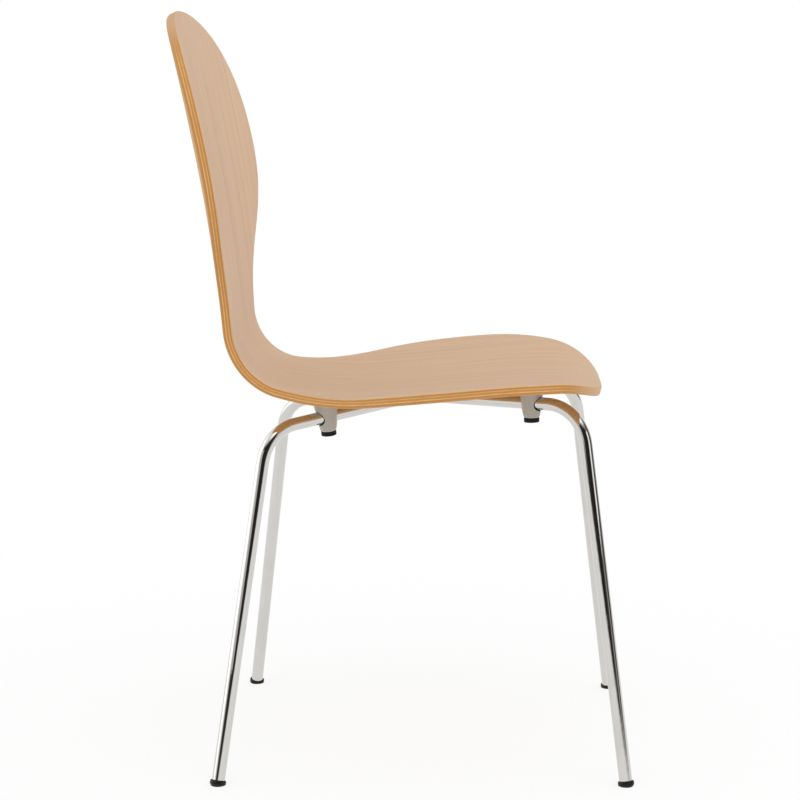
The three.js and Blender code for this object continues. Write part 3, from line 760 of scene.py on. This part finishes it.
def mark_bore_shade(bm, place):
    """Marks the faces of the tube's bore, which look towards its axis, where the finish paints
    black shade for the dark gap round the tube.
    """
    painted_bore_shade = bm.faces.layers.float.new("painted_bore_shade")
    axis = place.to_3x3() @ Vector((1, 0, 0))
    middle = place @ Vector((0, 0, -BORE_DROP))
    for face in bm.faces:
        outward = face.calc_center_median() - middle
        outward -= axis * outward.dot(axis)
        face[painted_bore_shade] = float(outward.length < BORE_RADIUS and outward.dot(face.normal) < 0)


def make_saddle(end, side):
    """A saddle, cut out for the tube and the screw's head, with its top cut to the seat."""
    place = saddle_place(end)
    side_curve = interpolate_bezier(
        Vector((SADDLE_FOOT_RADIUS, -SADDLE_FOOT)),
        Vector((SADDLE_RADIUS, -BORE_DROP - BORE_RADIUS)),
        Vector((SADDLE_RADIUS, TUBE_RADIUS)),
        Vector((SADDLE_TOP_RADIUS, SADDLE_FLARE_TOP)),
        SADDLE_SIDE_STEPS,
    )
    body = turned([
        (0.0, -SADDLE_FOOT),
        (SADDLE_FOOT_RADIUS - SADDLE_FOOT_ROUND, -SADDLE_FOOT),
        (SADDLE_FOOT_RADIUS, SADDLE_FOOT_ROUND - SADDLE_FOOT),
        *side_curve[1:],
        (SADDLE_TOP_RADIUS, SADDLE_HEIGHT),
        (0.0, SADDLE_HEIGHT),
    ])

    # The bore is open towards the frame's inner side, where the tube goes in
    bore = drill(BORE_RADIUS, -BORE_REACH, BORE_REACH)
    bmesh.ops.rotate(bore, verts=bore.verts, matrix=Matrix.Rotation(math.pi / 2, 3, "Y"))
    bmesh.ops.translate(bore, verts=bore.verts, vec=(0, 0, -BORE_DROP))
    slot = bmesh.new()
    bmesh.ops.create_cube(slot, size=1.0)
    bmesh.ops.scale(slot, vec=(SLOT_LENGTH, SLOT_DEPTH, 2 * TUBE_RADIUS), verts=slot.verts)
    bmesh.ops.translate(slot, vec=(0, SLOT_DEPTH / 2, -BORE_DROP), verts=slot.verts)
    pocket = drill(POCKET_RADIUS, -SADDLE_HEIGHT, -POCKET_TOP)
    for shape in (body, bore, slot, pocket):
        bmesh.ops.transform(shape, matrix=place, verts=shape.verts)
    under_seat = flat_blank(SEAT_CUTTER_GRID, SADDLE_HEIGHT, -PLY - GAP)
    press(under_seat)
    made = mesh_of(body, f"saddle_{end}_{side}")
    cut_from(made, [mesh_of(shape, "cutter") for shape in (bore, slot, pocket, under_seat)])

    bm = bmesh.new()
    bm.from_mesh(made.data)
    bmesh.ops.remove_doubles(bm, verts=bm.verts, dist=SAME_PLACE)
    mark_bore_shade(bm, place)
    to_side(bm, side)
    bm.to_mesh(made.data)
    bm.free()
    hand_over(made, NYLON, f"{end}_saddle_{side}")


def make_bumper(end, side):
    """The cap under a saddle, with a rim that plugs into the pocket."""
    top = -SADDLE_FOOT - GAP
    rim = POCKET_RADIUS - GAP
    lower = SADDLE_FOOT_RADIUS - BUMPER_ROUND, BUMPER_ROUND - BUMPER_BOTTOM
    upper = SADDLE_FOOT_RADIUS - BUMPER_TOP_ROUND, top - BUMPER_TOP_ROUND
    bm = turned([
        (0.0, -BUMPER_BOTTOM),
        *rounded(lower, BUMPER_ROUND, -90, 0),
        *rounded(upper, BUMPER_TOP_ROUND, 0, 90, steps=3),
        (rim, top),
        (rim, top + BUMPER_RIM),
        (rim - BUMPER_RIM_WALL, top + BUMPER_RIM),
        (rim - BUMPER_RIM_WALL, top),
        (0.0, top),
    ])
    bmesh.ops.transform(bm, matrix=saddle_place(end), verts=bm.verts)
    to_side(bm, side)
    made = mesh_of(bm, f"stacking_bumper_{end}_{side}")
    hand_over(made, RUBBER, f"{end}_bumper_{side}")


# ---------------------------------------------------------------- the chair


def finish_node(name, finish):
    """Gives its finish to a piece that is shown just as it was built."""
    materials = frame["nodes"][name].data.materials
    materials.clear()
    materials.append(finish)


make_shell()
for side in SIDES:
    make_tube(side)
    for end in ("rear", "front"):
        make_glide(end, side)
        make_saddle(end, side)
        make_bumper(end, side)
        for kind in ("screw", "insert"):
            finish_node(f"{end}_{kind}_{side}", ZINC)
finish_node("centre_plate", CHROME)

# ---------------------------------------------------------------- camera

EYE = Vector((-2.5560, STANCE_Y - 0.0796, 0.8124))
YAW = 0.04334                    # radians, from looking along +X towards +Y
PITCH = 0.15477                  # downwards
ROLL = -0.00487
FOCAL_LENGTH = 96.75             # millimetres, as is the sensor's width
SENSOR_WIDTH = 36

forward = Vector((
    math.cos(PITCH) * math.cos(YAW),
    math.cos(PITCH) * math.sin(YAW),
    -math.sin(PITCH),
))
level_right = forward.cross(Vector((0, 0, 1))).normalized()
level_up = level_right.cross(forward)
right = level_right * math.cos(ROLL) + level_up * math.sin(ROLL)
up = level_up * math.cos(ROLL) - level_right * math.sin(ROLL)
lens = bpy.data.cameras.new("camera")
lens.lens = FOCAL_LENGTH
lens.sensor_width = SENSOR_WIDTH
camera = bpy.data.objects.new("camera", lens)
bpy.context.scene.collection.objects.link(camera)
camera.matrix_world = Matrix.Translation(EYE) @ Matrix((right, up, -forward)).transposed().to_4x4()
bpy.context.scene.camera = camera

# ---------------------------------------------------------------- stage and light

FLOOR_RADIUS = 14.0
SHADOW_START = 0.25              # distances from the chair's middle over which its shadow fades
SHADOW_END = 1.2
SHADOW_WHITE = 0.80              # how much of the floor's white is its own, near the chair

EVEN_LIGHT = 0.92                # of the surround, for all that isn't a reflection

# The studio round the chair, which shows only in reflections. Bearings are turns from the -X
# direction, and positive towards -Y. Heights are of the ends of directions one metre long.
BRIGHTEST_WALL = 1.8
DARK_BEARING = 8                 # where the walls' low edge is highest, in degrees
DARK_EDGE_FALL = 0.16            # how far it falls away from there to a bearing square to it
LOW_EDGE = (-0.075, -0.016)      # heights over which the floor passes into the walls
CEILING_EDGE = (0.60, 0.85)      # and the walls into the ceiling
STUDIO_WALLS = (                 # bearing in degrees, brightness as a share, warmth
    (-180, 0.26, 0.02),
    (-168, 0.28, 0.02),
    (-156, 0.50, 0.00),
    (-130, 0.60, 0.00),
    (-115, 1.00, 0.00),
    (-80, 1.00, 0.00),
    (-57, 0.58, 0.01),
    (-47, 0.36, 0.02),
    (-40, 0.10, 0.03),
    (-32, 0.025, 0.04),
    (18, 0.010, 0.04),
    (38, 0.018, 0.04),
    (54, 0.055, 0.05),
    (66, 0.26, 0.05),
    (78, 0.05, 0.04),
    (96, 0.05, 0.04),
    (118, 0.13, 0.03),
    (140, 0.60, 0.00),
    (156, 0.50, 0.00),
    (168, 0.28, 0.02),
    (180, 0.26, 0.02),
)
LAMPS = (                        # name, place, what it looks at, size, watts
    ("overhead", (-0.6, -0.4, 2.6), (0, 0, 0.4), (2.2, 2.2), 8),
    ("camera_side", (-2.6, 1.6, 1.5), (0, 0, 0.5), (1.2, 1.6), 3),
    ("front_side", (-1.2, -2.3, 1.3), (0, 0.2, 0.65), (1.2, 1.2), 4),
)


def make_floor():
    """A white floor that shows the chair's shadow and runs out into the white background."""
    bm = bmesh.new()
    bmesh.ops.create_circle(bm, cap_ends=True, segments=96, radius=FLOOR_RADIUS)
    floor = mesh_of(bm, "floor")
    material, tree, shader = new_finish("white_floor")
    shader.inputs["Roughness"].default_value = 0.9
    shader.inputs["Specular IOR Level"].default_value = 0.0
    place = put(tree, "TexCoord").outputs["Object"]
    grain = noise(tree, place, scale=60.0)
    paint = mix_colour(tree, grain, (0.93, 0.93, 0.93, 1), (0.95, 0.95, 0.95, 1))
    connect(tree, shader, Base_Color=paint)
    away = put(tree, "VectorMath", {0: place}, operation="LENGTH").outputs["Value"]
    path = put(tree, "LightPath")
    seen = maths(tree, "MAXIMUM", path.outputs["Is Camera Ray"], path.outputs["Is Glossy Ray"])
    seen = maths(tree, "MAXIMUM", seen, path.outputs["Is Transmission Ray"])
    white = put(tree, "Emission", {"Color": (1, 1, 1, 1), "Strength": 1.0}).outputs[0]
    own = ramp(tree, away, SHADOW_START, SHADOW_END, SHADOW_WHITE, 1.0)
    share = maths(tree, "MULTIPLY", seen, own)
    both = put(tree, "MixShader", {0: share, 1: shader.outputs[0], 2: white}).outputs[0]
    tree.links.new(both, tree.nodes["Material Output"].inputs["Surface"])
    floor.data.materials.append(material)


def make_world():
    """A plain white surround that lights evenly, and the studio that shows in reflections."""
    world = bpy.data.worlds.new("surround")
    world.use_nodes = True
    bpy.context.scene.world = world
    tree = world.node_tree
    direction = put(tree, "TexCoord").outputs["Generated"]
    x, y, z = put(tree, "SeparateXYZ", {0: direction}).outputs
    minus_x = maths(tree, "MULTIPLY", x, -1.0)
    minus_y = maths(tree, "MULTIPLY", y, -1.0)
    bearing = maths(tree, "DIVIDE", maths(tree, "ARCTAN2", minus_y, minus_x), 2 * math.pi)
    walls = put(tree, "ValToRGB", {0: maths(tree, "ADD", bearing, 0.5)})
    stops = walls.color_ramp.elements
    for degrees, brightness, warmth in STUDIO_WALLS:
        place = degrees / 360 + 0.5
        stop = {0.0: stops[0], 1.0: stops[-1]}.get(place) or stops.new(place)
        stop.color = (brightness, brightness * (1 - warmth), brightness * (1 - 2 * warmth), 1)
    full = stretch(tree, walls.outputs["Color"], (BRIGHTEST_WALL,) * 3)
    dark = math.radians(DARK_BEARING)
    tilt = (DARK_EDGE_FALL * math.cos(dark), DARK_EDGE_FALL * math.sin(dark), 1.0)
    above = put(tree, "VectorMath", {0: direction, 1: tilt}, operation="DOT_PRODUCT")
    on_walls = ramp(tree, above.outputs["Value"], *LOW_EDGE)
    studio = mix_colour(tree, on_walls, (1, 1, 1, 1), full)
    studio = mix_colour(tree, ramp(tree, z, *CEILING_EDGE), studio, (1, 1, 1, 1))

    path = put(tree, "LightPath")
    level = (EVEN_LIGHT, EVEN_LIGHT, EVEN_LIGHT, 1)
    straight = path.outputs["Is Camera Ray"]
    seen = maths(tree, "MAXIMUM", straight, path.outputs["Is Transmission Ray"])
    shown = mix_colour(tree, seen, level, (1, 1, 1, 1))
    shown = mix_colour(tree, path.outputs["Is Glossy Ray"], shown, studio)
    tree.links.new(shown, tree.nodes["Background"].inputs["Color"])


def softbox(name, place, target, size, power):
    """A flat lamp that looks at a target."""
    light = bpy.data.lights.new(name, "AREA")
    light.shape = "RECTANGLE"
    light.size, light.size_y = size
    light.energy = power
    lamp = bpy.data.objects.new(name, light)
    bpy.context.scene.collection.objects.link(lamp)
    aim = (Vector(target) - Vector(place)).to_track_quat("-Z", "Y")
    lamp.matrix_world = Matrix.Translation(place) @ aim.to_matrix().to_4x4()


make_floor()
make_world()
for lamp in LAMPS:
    softbox(*lamp)

bpy.context.scene.view_settings.view_transform = "Standard"
